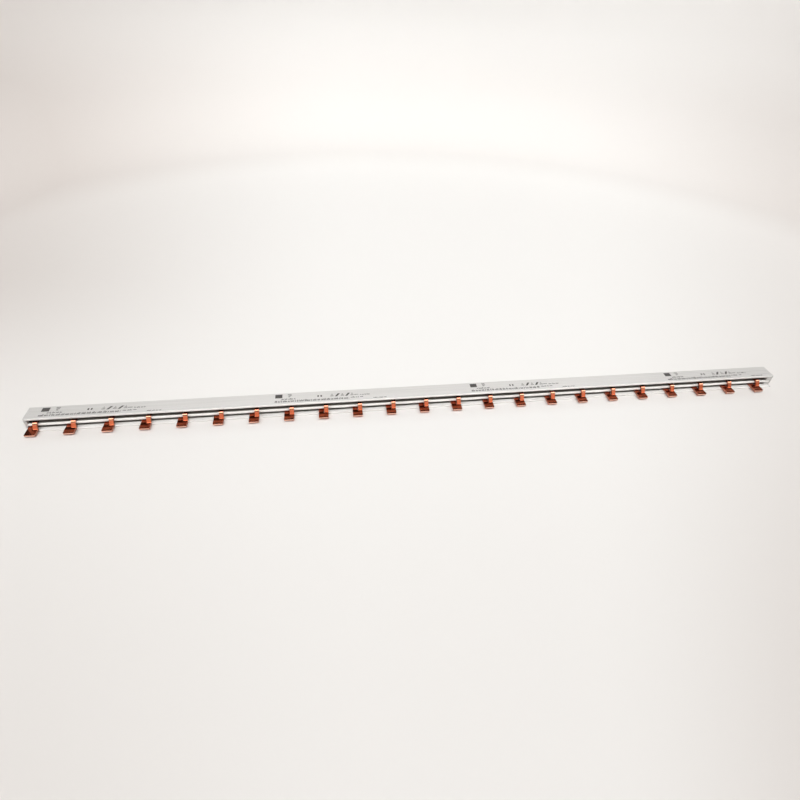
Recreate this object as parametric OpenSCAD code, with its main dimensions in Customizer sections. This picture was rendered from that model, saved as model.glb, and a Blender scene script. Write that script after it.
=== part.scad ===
// Comb busbar: a one-piece copper comb held in an E-shaped insulating profile.
// X runs along the bar, -Y is the side that the tabs point to, Z is up.
// The origin is the middle of the profile's flat underside.

/* [Comb] */
// Number of tabs
ways = 23; // [2:1:30]
// Distance from one tab to the next
pitch = 44.5; // [30:0.5:60]
// Thickness of the copper sheet
sheet_t = 2.5; // [1.5:0.1:3]
// Width of a tab
tab_w = 12.6; // [10:0.1:18]
// Reach of a tab in front of the mouth of the profile
tab_reach = 15.3; // [12:0.1:22]
// Radius of a tab's two tip corners
tip_r = 1; // [0.5:0.1:2]
// Bevel along a tab's tip, above and below
tip_bevel = 0.4; // [0.1:0.1:0.6]
// Length of the tail that a tab pushes into the lower slot
tail_len = 9; // [4:0.5:13]
// Width of a neck
neck_w = 5.4; // [3:0.1:7]
// Distance from the mouth to the line where a neck starts to rise
neck_set = 6.3; // [5.8:0.1:9]
// Slope of a neck
neck_slope = 60; // [56:1:80]
// Inside radius of the neck's folds
fold_r = 1.5; // [0.5:0.1:1.8]
// Gap punched between a neck and its tail
slit_w = 0.6; // [0.4:0.1:1.5]
// Width of the bar that joins the necks
bar_w = 9; // [7:0.5:11]

/* [Profile] */
// Depth of the profile from its mouth to its back
depth = 22.6; // [20:0.1:32]
// Reach of the floor in front of the mouth
floor_lip = 4.7; // [2:0.1:5.6]
// Thickness of the floor
floor_t = 2; // [1.5:0.1:4]
// Thickness of the rail between the two slots
rail_t = 4.4; // [3.6:0.1:5.8]
// Thickness of the roof
roof_t = 3.4; // [2:0.1:5]
// Thickness of the back wall
back_t = 2.4; // [1.5:0.1:4]
// Radius of the profile's two back corners
corner_r = 0.8; // [0.2:0.1:1.2]
// Free height above the bar in the upper slot
headroom = 2.2; // [1:0.1:4]
// Width of each rib that keeps the bar down
rib_w = 1.2; // [0.8:0.1:2]
// Distance from the first tab to the profile's left end
left_margin = 0.4; // [0.3:0.1:30]
// Distance from the last tab to the profile's right end
right_margin = 18.6; // [12:0.1:60]

/* [End caps] */
// Thickness of a cap's plate
cap_t = 2; // [1:0.1:5]
// Length of the plug on the left cap
left_plug = 1.4; // [0.5:0.1:5]
// Length of the plugs on the right cap
right_plug = 6; // [1:0.5:10]
// Depth of the plugs behind the mouth
plug_depth = 4.5; // [2:0.5:5]

/* [Fits] */
// Free height above a tail in the lower slot
slot_clearance = 0.3; // [0.1:0.05:0.8]
// Gap between the bar and the ribs, the back wall and the caps
bar_clearance = 0.3; // [0.1:0.05:0.8]
// Gap around a cap's plugs
plug_clearance = 0.15; // [0.05:0.05:0.4]

/* [Hidden] */
$fn = 48;

// Length of the profile, and its left end
body_len = left_margin + (ways - 1) * pitch + tab_w + right_margin;
left_x = -body_len / 2;
// The mouth, where the front of the rail and the roof's lip lie
mouth_y = (floor_lip - depth) / 2;
// Levels, from the underside up
rail_z = floor_t + sheet_t + slot_clearance;
bar_z = rail_z + rail_t;
roof_z = bar_z + sheet_t + headroom;
top_z = roof_z + roof_t;
// Front edge of the bar, behind the mouth
bar_y = depth - back_t - bar_clearance - bar_w;
// Straight stretch of a neck between its two folds, and the neck's whole run
fold_mid_r = fold_r + sheet_t / 2;
neck_rise = bar_z - floor_t;
neck_straight = (neck_rise - 2 * fold_mid_r * (1 - cos(neck_slope))) / sin(neck_slope);
neck_run = 2 * fold_mid_r * sin(neck_slope) + neck_straight * cos(neck_slope);
// Flats in each fold
fold_steps = 8;
// Level stretch that a neck shares with its tab
root_len = neck_w / 2;
// Far enough to cut clear through
over = 1;

// Sweeps a section drawn in Y and Z along X
module along_x(x, length)
    translate([x, mouth_y, 0]) rotate([90, 0, 90]) linear_extrude(length) children();

// A wall that lies flat and whose front edge is fully round
module round_nosed(front, back, z, thick) {
    translate([front + thick / 2, z]) square([back - front - thick / 2, thick]);
    translate([front + thick / 2, z + thick / 2]) circle(d = thick);
}

module floor_section() round_nosed(-floor_lip, depth, 0, floor_t);

// Keeps what is drawn within the outline's rounded back corners
module within_corners() {
    front = -floor_lip - over;
    intersection() {
        children();
        union() {
            translate([front, 0]) square([depth - corner_r - front, top_z]);
            translate([front, corner_r])
                square([depth - front, top_z - 2 * corner_r]);
            for (z = [corner_r, top_z - corner_r])
                translate([depth - corner_r, z]) circle(corner_r);
        }
    }
}

// Ribs under the roof, over the bar's two edges
module rib_section() {
    rib_z = bar_z + sheet_t + bar_clearance;
    for (y = [bar_y + rib_w, bar_y + bar_w - 2 * rib_w])
        translate([y, rib_z]) square([rib_w, roof_z - rib_z + roof_t / 2]);
}

module housing_section()
    within_corners() {
        floor_section();
        round_nosed(0, depth, rail_z, rail_t);
        round_nosed(0, depth, roof_z, roof_t);
        translate([depth - back_t, 0]) square([back_t, top_z]);
        rib_section();
    }

module housing()
    color("gainsboro") along_x(left_x, body_len) housing_section();

// Points of an arc about a centre, from one angle to another
function arc(centre, r, from, to) =
    [for (i = [0 : fold_steps]) let (a = from + (to - from) * i / fold_steps)
        centre + r * [cos(a), sin(a)]];

// Side view of a neck: up and over in two folds, from the tab to the middle of the bar
module neck_section() {
    low = [-neck_set, floor_t + sheet_t + fold_r];
    high = [-neck_set + neck_run, bar_z - fold_r];
    start_y = -neck_set - root_len;
    end_y = bar_y + bar_w / 2;
    outer_r = fold_r + sheet_t;
    polygon(concat(
        [[start_y, floor_t + sheet_t], [start_y, floor_t]],
        arc(low, outer_r, -90, neck_slope - 90),
        arc(high, fold_r, neck_slope + 90, 90),
        [[end_y, bar_z], [end_y, bar_z + sheet_t]],
        arc(high, outer_r, 90, neck_slope + 90),
        arc(low, fold_r, neck_slope - 90, -90)));
}

// Outline of a tab and its tail from above, with the tip on the X axis
module tab_outline() {
    tab_len = tab_reach - neck_set;
    translate([0, tip_r]) square([tab_w, tab_len - tip_r]);
    translate([tip_r, 0]) square([tab_w - 2 * tip_r, tab_len]);
    for (x = [tip_r, tab_w - tip_r]) translate([x, tip_r]) circle(tip_r);
    translate([0, tip_r])
        square([tab_w - neck_w - slit_w, tab_reach + tail_len - tip_r]);
}

// Side view of a tab and its tail, with the tip's two bevels
module tab_section() {
    length = tab_reach + tail_len + over;
    translate([-tab_reach, floor_t]) polygon([
        [0, tip_bevel], [tip_bevel, 0], [length, 0], [length, sheet_t],
        [tip_bevel, sheet_t], [0, sheet_t - tip_bevel]]);
}

// One tab with its tail, and the neck that climbs over the rail to the bar
module tooth(x) {
    intersection() {
        translate([x, mouth_y - tab_reach, floor_t - over])
            linear_extrude(sheet_t + 2 * over) tab_outline();
        along_x(x - over, tab_w + 2 * over) tab_section();
    }
    along_x(x + tab_w - neck_w, neck_w) neck_section();
}

module copper_comb()
    color([0.72, 0.36, 0.26]) {
        translate([left_x + bar_clearance, mouth_y + bar_y, bar_z])
            cube([body_len - 2 * bar_clearance, bar_w, sheet_t]);
        for (i = [0 : ways - 1]) tooth(left_x + left_margin + i * pitch);
    }

// Outline of a cap's plate: the profile with its slots closed
module cap_section()
    within_corners() {
        floor_section();
        round_nosed(0, depth, roof_z, roof_t);
        translate([roof_t / 2, 0]) square([depth - roof_t / 2, top_z]);
        translate([0, floor_t / 2])
            square([depth, roof_z + roof_t / 2 - floor_t / 2]);
    }

// Plug that fills the front of one slot
module plug_section(z, height)
    translate([plug_clearance, z + plug_clearance])
        square([plug_depth, height - 2 * plug_clearance]);

module upper_plug_section() plug_section(bar_z, roof_z - bar_z);
module lower_plug_section() plug_section(floor_t, rail_z - floor_t);

module end_cap_left()
    color("lightgray") {
        along_x(left_x - cap_t, cap_t) cap_section();
        along_x(left_x - cap_t / 2, cap_t / 2 + left_plug) upper_plug_section();
    }

module end_cap_right()
    color("lightgray") {
        along_x(-left_x, cap_t) cap_section();
        along_x(-left_x - right_plug, right_plug + cap_t / 2) {
            upper_plug_section();
            lower_plug_section();
        }
    }

housing();
copper_comb();
end_cap_left();
end_cap_right();
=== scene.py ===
"""Looks for the comb busbar: materials, eased edges, print marks, studio and camera.

Lengths are metres in the CAD frame: X along the bar, -Y where the tabs point, Z up.
"""

import random
from math import cos, pi, radians, sin

import bmesh
import bpy
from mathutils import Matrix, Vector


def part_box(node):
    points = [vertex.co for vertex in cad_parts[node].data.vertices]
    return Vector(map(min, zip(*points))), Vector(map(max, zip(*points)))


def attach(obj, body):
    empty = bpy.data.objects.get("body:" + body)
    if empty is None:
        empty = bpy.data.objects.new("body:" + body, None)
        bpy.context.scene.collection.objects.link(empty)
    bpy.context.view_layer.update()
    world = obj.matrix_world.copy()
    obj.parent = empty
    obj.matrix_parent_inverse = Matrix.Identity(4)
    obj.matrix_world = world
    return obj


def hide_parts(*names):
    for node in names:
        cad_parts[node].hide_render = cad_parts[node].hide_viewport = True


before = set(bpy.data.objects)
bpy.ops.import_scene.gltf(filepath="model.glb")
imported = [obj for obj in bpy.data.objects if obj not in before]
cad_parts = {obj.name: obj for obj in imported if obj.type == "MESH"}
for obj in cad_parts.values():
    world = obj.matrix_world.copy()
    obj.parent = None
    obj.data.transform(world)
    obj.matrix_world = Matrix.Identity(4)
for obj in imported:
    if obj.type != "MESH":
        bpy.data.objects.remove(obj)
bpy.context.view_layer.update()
MM = 0.001

# Places on the profile that the tones follow
FLOOR_LIP = 4.7 * MM
housing_low, housing_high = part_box("housing")
mouth_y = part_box("end_cap_left")[0].y + FLOOR_LIP
wall_y = housing_high.y - MM
slots_from, slots_to = housing_low.z + 1.9 * MM, housing_high.z - 3.3 * MM
rail_from = housing_low.z + 2.5 * MM
roof_from = housing_high.z - 3.5 * MM
roof_z = housing_high.z


# Node materials


class Nodes:
    """A node tree whose nodes are added one at a time."""

    def __init__(self, tree):
        self.tree = tree

    def feed(self, socket, value):
        if isinstance(value, bpy.types.NodeSocket):
            self.tree.links.new(value, socket)
        else:
            socket.default_value = value

    def node(self, kind, inputs=(), **settings):
        made = self.tree.nodes.new("ShaderNode" + kind)
        for name, value in settings.items():
            setattr(made, name, value)
        for name, value in dict(inputs).items():
            self.feed(made.inputs[name], value)
        return made

    def parts(self, vector):
        """The X, Y and Z sockets of a vector."""
        return self.node("SeparateXYZ", {0: vector}).outputs

    def remap(self, value, low, high, to_low=0.0, to_high=1.0):
        """A smooth step from one value to another, where `low` may lie above `high`."""
        return self.node(
            "MapRange",
            {
                "Value": value,
                "From Min": low,
                "From Max": high,
                "To Min": to_low,
                "To Max": to_high,
            },
            interpolation_type="SMOOTHSTEP",
        ).outputs["Result"]

    def math(self, operation, a, b=0.0):
        return self.node("Math", {0: a, 1: b}, operation=operation).outputs[0]

    def product(self, first, *others):
        for other in others:
            first = self.math("MULTIPLY", first, other)
        return first

    def total(self, first, *others):
        for other in others:
            first = self.math("ADD", first, other)
        return first

    def mix(self, factor, a, b):
        made = self.node("Mix", data_type="RGBA")
        self.feed(made.inputs["Factor"], factor)
        for socket, value in zip((made.inputs[6], made.inputs[7]), (a, b)):
            self.feed(socket, value if isinstance(value, bpy.types.NodeSocket) else (*value, 1))
        return made.outputs[2]


class Shader(Nodes):
    """A Principled material."""

    def __init__(self, name, **sockets):
        self.material = bpy.data.materials.new(name)
        self.material.use_nodes = True
        super().__init__(self.material.node_tree)
        self.bsdf = self.tree.nodes["Principled BSDF"]
        self.place = self.node("TexCoord").outputs["Object"]
        for socket, value in sockets.items():
            self.feed(self.bsdf.inputs[socket.replace("_", " ")], value)

    def facing(self, kind):
        """The X, Y and Z sockets of a normal, either "Normal" or "True Normal"."""
        return self.parts(self.node("NewGeometry").outputs[kind])

    def noise(self, grain, detail=3.0, stretch=(1, 1, 1)):
        """Noise from 0 to 1 whose features are about `grain` metres, times `stretch`."""
        scaled = self.node(
            "VectorMath",
            {0: self.place, 1: [1 / (grain * s) for s in stretch]},
            operation="MULTIPLY",
        )
        return self.node(
            "TexNoise",
            {"Vector": scaled.outputs[0], "Scale": 1.0, "Detail": detail, "Roughness": 0.55},
        ).outputs["Fac"]

    def bump(self, height, depth, normal=None):
        inputs = {"Height": height, "Strength": 1.0, "Distance": depth}
        if normal:
            inputs["Normal"] = normal
        return self.node("Bump", inputs).outputs["Normal"]

    def finish(self, colour, roughness, normal):
        self.feed(self.bsdf.inputs["Base Color"], colour)
        self.feed(self.bsdf.inputs["Roughness"], roughness)
        self.feed(self.bsdf.inputs["Normal"], normal)
        return self.material


PVC_SHEET = (0.724, 0.715, 0.702), (0.758, 0.750, 0.738)
PVC_DIE_LINE = (0.710, 0.700, 0.685)
PVC_SPECK = (0.40, 0.38, 0.35)
PVC_NOSE_HIGHLIGHT = (0.94, 0.93, 0.915)
PVC_RAIL_HIGHLIGHT = (0.96, 0.95, 0.93)
PVC_SLOT_SHADE = (0.25, 0.235, 0.21)
PVC_END_SHADE = (0.10, 0.09, 0.08)
PVC_ROUGH = 0.24, 0.32


def extruded_plastic():
    """Pale grey PVC with a die's fine lines, with painted shade in its slots and towards the
    roof's ends, and painted highlights on its noses and rail.
    """
    s = Shader("extruded_plastic", Specular_IOR_Level=0.5)
    x, _, z = s.parts(s.place)
    _, _, up = s.facing("Normal")
    die_lines = s.noise(0.6 * MM, 4, (400, 1, 1))
    broad = s.noise(60 * MM, 2, (3, 1, 1))
    specks = s.remap(s.noise(0.5 * MM, 1), 0.68, 0.76)
    tone = s.mix(s.remap(broad, 0.3, 0.7), *PVC_SHEET)
    tone = s.mix(s.remap(die_lines, 0.3, 0.75, 0.0, 0.15), tone, PVC_DIE_LINE)
    tone = s.mix(s.product(specks, 0.25), tone, PVC_SPECK)
    # Faces that don't face straight up, the noses among them, are painted paler than the roof's
    # top: a painted highlight
    tone = s.mix(s.remap(up, 0.99, 0.75, 0.0, 0.8), tone, PVC_NOSE_HIGHLIGHT)
    # The roof darkens towards its ends: painted shade
    end_shade = s.remap(s.math("ABSOLUTE", x), 0.20, 0.51, 0.0, 0.20)
    roof = s.math("GREATER_THAN", z, roof_from)
    tone = s.mix(s.product(end_shade, roof), tone, PVC_END_SHADE)
    slot_shade, rail_highlight = slot_shade_and_rail_highlight(s)
    # A painted highlight on the rail's nose
    tone = s.mix(rail_highlight, tone, PVC_RAIL_HIGHLIGHT)
    # Painted shade inside the slots
    tone = s.mix(slot_shade, tone, PVC_SLOT_SHADE)
    rough = s.remap(die_lines, 0.2, 0.8, *PVC_ROUGH)
    return s.finish(tone, rough, s.bump(die_lines, 0.008 * MM))


def slot_shade_and_rail_highlight(s):
    """Masks for painted shade on the slots' inner faces and for a painted highlight on the rail's
    nose.
    """
    _, y, z = s.parts(s.place)
    between = s.product(
        s.math("GREATER_THAN", z, slots_from),
        s.math("LESS_THAN", z, slots_to),
    )
    slot_shade = s.remap(y, mouth_y + 0.6 * MM, mouth_y + 2.0 * MM)
    slot_shade = s.product(slot_shade, s.math("LESS_THAN", y, wall_y), between)
    rail_highlight = s.product(s.math("GREATER_THAN", z, rail_from), between)
    return slot_shade, rail_highlight


CAP_SHEET = (0.590, 0.582, 0.570), (0.625, 0.617, 0.605)
CAP_ROUGH = 0.48, 0.60


def moulded_plastic():
    """Grey moulded plastic with a fine spark-eroded grain."""
    s = Shader("moulded_plastic", Specular_IOR_Level=0.4)
    grain = s.noise(0.35 * MM, 2)
    broad = s.noise(9 * MM, 2)
    tone = s.mix(s.remap(broad, 0.3, 0.7), *CAP_SHEET)
    rough = s.remap(grain, 0.3, 0.7, *CAP_ROUGH)
    return s.finish(tone, rough, s.bump(grain, 0.03 * MM))


COPPER_SHEET = (0.76, 0.185, 0.082), (0.67, 0.145, 0.062)
COPPER_STAIN = (0.44, 0.095, 0.045)
COPPER_ROLLED = (0.88, 0.30, 0.17)
COPPER_TIP_LIT = (0.95, 0.66, 0.55), (0.88, 0.50, 0.38)
COPPER_SIDE_SHADE = (0.54, 0.24, 0.17), (0.40, 0.15, 0.10)
COPPER_FLAT_SHADE = (0.24, 0.045, 0.022)
COPPER_FOLD_HIGHLIGHT = (0.88, 0.46, 0.31)
COPPER_SLOT_SHADE = (0.22, 0.030, 0.014)
COPPER_ROUGH, SHEAR_ROUGH = (0.10, 0.21), 0.16


def punched_copper():
    """Rolled copper with painted shade on its flats and inside the slots, a painted highlight at
    the necks' folds, and dull sheared faces, painted lighter at the tips and darker at the sides.
    """
    s = Shader("punched_copper", Metallic=1.0, Anisotropic=0.25)
    _, y, z = s.parts(s.place)
    across, _, up = s.facing("True Normal")
    rolling = s.noise(0.35 * MM, 4, (40, 1, 1))
    shear = s.noise(0.25 * MM, 3, (1, 1, 14))
    oxide = s.noise(7 * MM, 4)
    stain = s.remap(s.noise(2.2 * MM, 5), 0.55, 0.72)
    side = s.math("GREATER_THAN", s.math("ABSOLUTE", across), 0.7)
    upright = s.math("LESS_THAN", s.math("ABSOLUTE", up), 0.2)
    edge = s.math("MAXIMUM", side, upright)
    flat = s.math("GREATER_THAN", up, 0.95)

    tone = s.mix(s.remap(oxide, 0.35, 0.7), *COPPER_SHEET)
    tone = s.mix(s.product(stain, 0.35), tone, COPPER_STAIN)
    tone = s.mix(s.remap(rolling, 0.35, 0.75, 0.0, 0.25), tone, COPPER_ROLLED)
    # Upward flats are darkened in patches that follow the oxide noise: painted shade
    flat_shade = s.remap(oxide, 0.3, 0.7, 0.75, 0.35)
    tone = s.mix(s.product(flat, flat_shade), tone, COPPER_FLAT_SHADE)
    # Sheared faces are paler than the rolled flats; tips are painted lighter and sides darker by
    # which way they face, a painted highlight and painted shade
    lit_tip_tone = s.mix(s.remap(shear, 0.3, 0.7), *COPPER_TIP_LIT)
    shaded_side_tone = s.mix(s.remap(shear, 0.3, 0.7), *COPPER_SIDE_SHADE)
    tone = s.mix(edge, tone, s.mix(side, lit_tip_tone, shaded_side_tone))
    # The necks' upper folds are painted paler: a painted highlight
    fold_highlight = s.remap(z, 8.0 * MM, 11.0 * MM, 0.0, 0.6)
    tone = s.mix(s.product(fold_highlight, s.math("SUBTRACT", 1.0, edge)), tone, COPPER_FOLD_HIGHLIGHT)
    # Copper inside the slot's mouth is darkened: painted shade
    copper_slot_shade = s.remap(y, mouth_y - 1.0 * MM, mouth_y + 0.5 * MM, 0.0, 0.85)
    tone = s.mix(copper_slot_shade, tone, COPPER_SLOT_SHADE)

    rough = s.total(s.remap(rolling, 0.25, 0.8, *COPPER_ROUGH), s.product(edge, SHEAR_ROUGH))
    sheet_bump = s.bump(rolling, 0.006 * MM)
    return s.finish(tone, rough, s.bump(s.product(shear, edge), 0.05 * MM, sheet_bump))


INK = (0.055, 0.052, 0.050), (0.13, 0.125, 0.12)
INK_ROUGH = 0.45, 0.6


def printing_ink():
    """Thin dark ink, patchy where the pad left less of it."""
    s = Shader("printing_ink", Specular_IOR_Level=0.3)
    patch = s.noise(0.5 * MM, 3)
    tone = s.mix(s.remap(patch, 0.35, 0.7), *INK)
    return s.finish(tone, s.remap(patch, 0.3, 0.7, *INK_ROUGH), s.bump(patch, 0.005 * MM))


PAPER = (0.915, 0.91, 0.90), (0.65, 0.612, 0.590)
PAPER_FIBRE = (0.75, 0.74, 0.73)
PAPER_ROUGH = 0.72, 0.80
PAPER_PAINTED_GLOW = 0.15
# The paper's painted shade fans out from this point in front of the bar
FAN_X, FAN_Y, FAN_NEAREST = -0.12, -0.9, 0.4


def studio_paper():
    """White paper of the studio sweep, with painted shade that makes it darker and warmer away
    from the middle, and a painted glow that grows with height.
    """
    s = Shader("studio_paper", Specular_IOR_Level=0.1)
    x, y, z = s.parts(s.place)
    depth = s.math("MAXIMUM", s.total(y, -FAN_Y), FAN_NEAREST)
    across = s.math("DIVIDE", s.total(x, -FAN_X), depth)
    # Painted shade: the paper darkens to the left, to the right and towards the front
    left = s.product(
        s.remap(across, 0.05, -0.62, 0.0, 1.06),
        s.remap(y, -0.10, 0.45, 0.30, 1.0),
    )
    right = s.remap(across, 0.36, 0.90, 0.0, 0.56)
    near = s.remap(y, 0.05, -0.45, 0.0, 0.27)
    # A soft shade along the front of the bar
    shade = s.product(
        s.remap(y, -0.045, -0.012, 0.0, 0.25),
        s.math("LESS_THAN", y, 0.0),
        s.remap(s.math("ABSOLUTE", x), 0.515, 0.47),
    )
    # Painted shade on the sweep's bend
    reach = s.node("VectorMath", {0: s.place}, operation="LENGTH").outputs["Value"]
    bend = s.product(s.remap(reach, 1.02, 1.25, 0.0, 0.27), s.remap(z, 0.12, 0.32, 1.0, 0.0))
    tone = s.mix(s.total(left, right, near, shade, bend), *PAPER)

    fibre = s.noise(1.5 * MM, 3)
    tone = s.mix(s.remap(fibre, 0.3, 0.7, 0.0, 0.02), tone, PAPER_FIBRE)
    rough = s.remap(fibre, 0.3, 0.7, *PAPER_ROUGH)
    # The paper glows more the higher it lies: painted light
    s.bsdf.inputs["Emission Color"].default_value = (1.0, 0.99, 0.98, 1)
    s.feed(s.bsdf.inputs["Emission Strength"], s.product(z, PAPER_PAINTED_GLOW))
    return s.finish(tone, rough, s.bump(fibre, 0.01 * MM))


# Pieces


def new_piece(name, mesh, material):
    piece = bpy.data.objects.new(name, mesh)
    bpy.context.scene.collection.objects.link(piece)
    mesh.materials.clear()
    mesh.materials.append(material)
    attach(piece, "root")
    return piece


WELD = 0.001 * MM
COPLANAR, SHARP = radians(0.5), radians(25)
BEVEL_SEGMENTS = 2


def eased(node, radius, material):
    """A CAD node with its sharp edges rounded, as sawing, punching or moulding leaves them."""
    mesh = bpy.data.meshes.new(node + "_eased")
    work = bmesh.new()
    work.from_mesh(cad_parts[node].data)
    bmesh.ops.remove_doubles(work, verts=work.verts, dist=WELD)
    bmesh.ops.dissolve_limit(work, angle_limit=COPLANAR, verts=work.verts, edges=work.edges)
    work.to_mesh(mesh)
    work.free()
    for name in ("custom_normal", "sharp_edge", "sharp_face"):
        if name in mesh.attributes:
            mesh.attributes.remove(mesh.attributes[name])
    mesh.shade_smooth()
    piece = new_piece(node + "_eased", mesh, material)
    bevel = piece.modifiers.new("eased_edges", "BEVEL")
    bevel.width = radius
    bevel.segments = BEVEL_SEGMENTS
    bevel.limit_method = "ANGLE"
    bevel.angle_limit = SHARP
    bevel.harden_normals = True
    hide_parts(node)


PROFILE_EDGE, COPPER_EDGE, CAP_EDGE = 0.25 * MM, 0.15 * MM, 0.3 * MM

plastic, caps, copper = extruded_plastic(), moulded_plastic(), punched_copper()
eased("housing", PROFILE_EDGE, plastic)
eased("copper_comb", COPPER_EDGE, copper)
for cap in ("end_cap_left", "end_cap_right"):
    eased(cap, CAP_EDGE, caps)


# Print marks on the roof, plain bars and dashes in place of any wording

INK_GAP, INK_THICK = 0.002 * MM, 0.015 * MM
BLOCK_STARTS = (-0.486, -0.200, 0.0627, 0.350)
# Millimetres from a block's start and from the roof's middle:
# bars as x, y, width, height and lean
BARS = (
    (0, 7.4, 9.2, 7.2),
    (14.0, 10.2, 4.8, 1.1),
    (14.4, 7.8, 4.2, 1.1),
    (13.8, 5.6, 2.6, 1.1),
    (51.2, 3.9, 2.0, 3.4),
    (55.2, 3.9, 2.0, 3.4),
    (76.5, 4.2, 3.0, 5.8, 4.0),
    (90.0, 4.2, 3.0, 5.8, 4.0),
    (101.4, 3.0, 5.6, 0.9),
    (108.3, -2.1, 4.0, 1.0),
)
# stacks of three bars as x, with each bar's y and width, and their height
STACKS, STACK_BARS, STACK_HEIGHT = (69.3, 83.1, 95.8), ((2.4, 4.6), (4.3, 3.0), (6.2, 1.4)), 0.8
# rows of small blocks as start, end, y and height
ROWS = (
    (106.5, 120.0, 2.4, 2.2),
    (3.6, 21.2, 1.2, 2.6),
    (-4.8, 91.5, -3.1, 3.8),
    (94.0, 104.3, -2.1, 2.2),
    (123.8, 141.0, -5.4, 1.8),
)
ROW_WIDTHS, ROW_HEIGHTS, ROW_GAP, GROUP_GAP = (0.35, 0.7), (0.72, 0.72, 1.0), 0.3, 0.9
GROUP_SIZES = (2, 8)


class Print:
    """Thin flat plates of ink that lie on the roof."""

    def __init__(self, start_x):
        self.bm = bmesh.new()
        self.start_x = start_x

    def bar(self, x, y, width, height, lean=0.0):
        """One plate, with its middle at x and y."""
        low, high = roof_z + INK_GAP, roof_z + INK_GAP + INK_THICK
        corners = [
            (x + sx * width / 2 + sy * lean / 2, y + sy * height / 2)
            for sx, sy in ((-1, -1), (1, -1), (1, 1), (-1, 1))
        ]
        ring = [
            [self.bm.verts.new((self.start_x + a * MM, b * MM, z)) for a, b in corners]
            for z in (low, high)
        ]
        self.bm.faces.new(ring[1])
        self.bm.faces.new(reversed(ring[0]))
        for i in range(4):
            j = (i + 1) % 4
            self.bm.faces.new((ring[0][i], ring[0][j], ring[1][j], ring[1][i]))

    def row(self, start, end, y, height, rng):
        """A row of small blocks in groups, as grey as a line of small wording."""
        x = start
        while x < end:
            for _ in range(rng.randint(*GROUP_SIZES)):
                width = rng.uniform(*ROW_WIDTHS)
                tall = height * rng.choice(ROW_HEIGHTS)
                self.bar(x + width / 2, y + (tall - height) / 2, width, tall)
                x += width + ROW_GAP
                if x > end:
                    return
            x += GROUP_GAP


rng = random.Random(4)
ink = printing_ink()
for number, start_x in enumerate(BLOCK_STARTS, 1):
    block = Print(start_x)
    for bar in BARS:
        block.bar(*bar)
    for x in STACKS:
        for y, width in STACK_BARS:
            block.bar(x, y, width, STACK_HEIGHT)
    for row in ROWS:
        block.row(*row, rng)
    mesh = bpy.data.meshes.new(f"print_marks_{number}")
    block.bm.to_mesh(mesh)
    block.bm.free()
    new_piece(f"print_marks_{number}", mesh, ink)


# Studio: a round paper sweep, a soft sky and the camera

SWEEP_FLAT, SWEEP_BEND, SWEEP_WALL = 1.25, 0.35, 0.08
FLAT_STEPS, BEND_STEPS, ROUND_STEPS = 8, 16, 128
PAPER_GAP = 0.05 * MM


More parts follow.
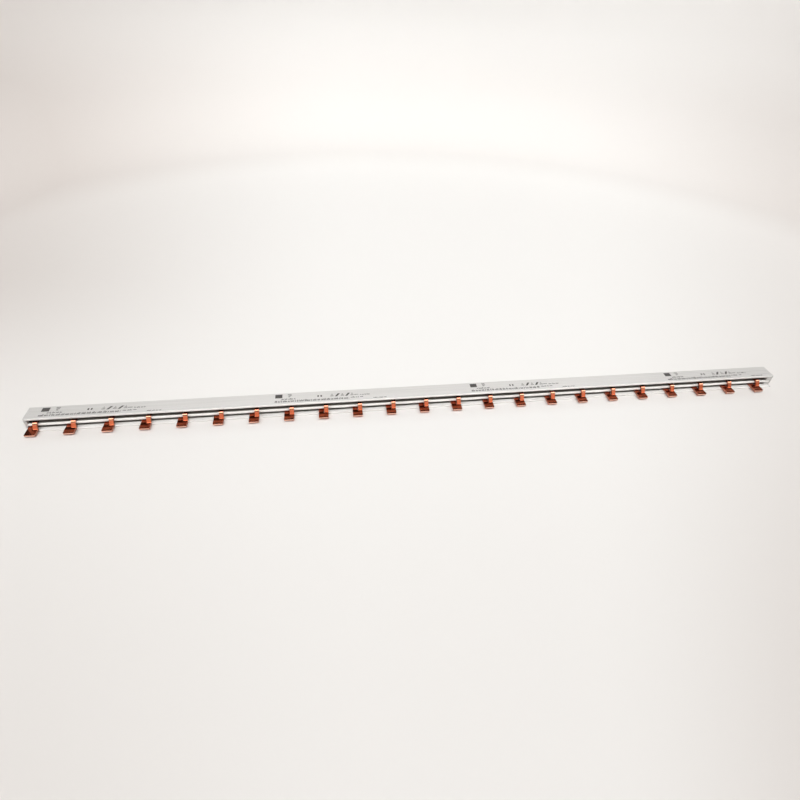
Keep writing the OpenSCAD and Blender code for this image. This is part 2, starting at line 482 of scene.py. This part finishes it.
def paper_sweep():
    """A floor disc whose rim curves up into a low wall all round."""
    profile = [(SWEEP_FLAT * i / FLAT_STEPS, 0.0) for i in range(1, FLAT_STEPS + 1)]
    for i in range(1, BEND_STEPS + 1):
        a = pi / 2 * i / BEND_STEPS
        profile.append((SWEEP_FLAT + SWEEP_BEND * sin(a), SWEEP_BEND * (1 - cos(a))))
    profile.append((profile[-1][0], SWEEP_BEND + SWEEP_WALL))
    turns = [2 * pi * k / ROUND_STEPS for k in range(ROUND_STEPS)]
    bm = bmesh.new()
    rings = [[bm.verts.new((r * cos(a), r * sin(a), z)) for a in turns] for r, z in profile]
    middle = bm.verts.new((0, 0, 0))
    for k in range(ROUND_STEPS):
        j = (k + 1) % ROUND_STEPS
        bm.faces.new((middle, rings[0][k], rings[0][j]))
        for inner, outer in zip(rings, rings[1:]):
            bm.faces.new((inner[k], outer[k], outer[j], inner[j]))
    mesh = bpy.data.meshes.new("paper_sweep")
    bm.to_mesh(mesh)
    bm.free()
    mesh.shade_smooth()
    mesh.materials.append(studio_paper())
    sweep = bpy.data.objects.new("paper_sweep", mesh)
    sweep.location.z = -PAPER_GAP
    bpy.context.scene.collection.objects.link(sweep)


# Degrees from straight up towards the front, and shares of the way to either side
LAMP_BACK, LAMP_FRONT, LAMP_SIDE = (-12, 0), (42, 28), (0.85, 0.55)
CORE_BACK, CORE_FRONT, CORE_SIDE = (6, 10), (23, 19), (0.85, 0.65)
# Heights, as shares of the way up
HORIZON = (0.48, 0.38)
SKY_DIM, LAMP_GLOW, CORE_GLOW, HORIZON_GLOW = 0.075, 1.40, 4.8, 0.92
SKY_TINT = (1.0, 0.985, 0.965, 1)


def soft_sky():
    """A wide soft lamp above and in front of the bar with a bright core, and a pale horizon."""
    world = bpy.data.worlds.new("soft_sky")
    bpy.context.scene.world = world
    world.use_nodes = True
    s = Nodes(world.node_tree)
    x, y, z = s.parts(s.node("TexCoord").outputs["Generated"])
    forward = s.math("ARCTAN2", s.product(y, -1.0), z)
    sideways = s.math("ABSOLUTE", x)

    def patch(back, front, side):
        """A soft-edged patch of sky, each edge as where it starts and where it ends."""
        return s.product(
            s.remap(forward, *map(radians, back)),
            s.remap(forward, *map(radians, front)),
            s.remap(sideways, *side),
        )

    strength = s.total(
        SKY_DIM,
        s.product(patch(LAMP_BACK, LAMP_FRONT, LAMP_SIDE), LAMP_GLOW),
        s.product(patch(CORE_BACK, CORE_FRONT, CORE_SIDE), CORE_GLOW),
        s.product(s.remap(z, *HORIZON), HORIZON_GLOW),
    )
    back = s.tree.nodes["Background"]
    back.inputs["Color"].default_value = SKY_TINT
    s.feed(back.inputs["Strength"], strength)


paper_sweep()
soft_sky()

camera_data = bpy.data.cameras.new("camera")
camera_data.sensor_width = 36.0
camera_data.lens = 22.5
camera = bpy.data.objects.new("camera", camera_data)
camera.location = (-0.11774, -0.50693, 0.45063)
camera.rotation_euler = [radians(a) for a in (49.0064, -1.8103, -7.1825)]
bpy.context.scene.collection.objects.link(camera)
bpy.context.scene.camera = camera

scene = bpy.context.scene
scene.view_settings.view_transform = "Standard"
scene.view_settings.look = "None"
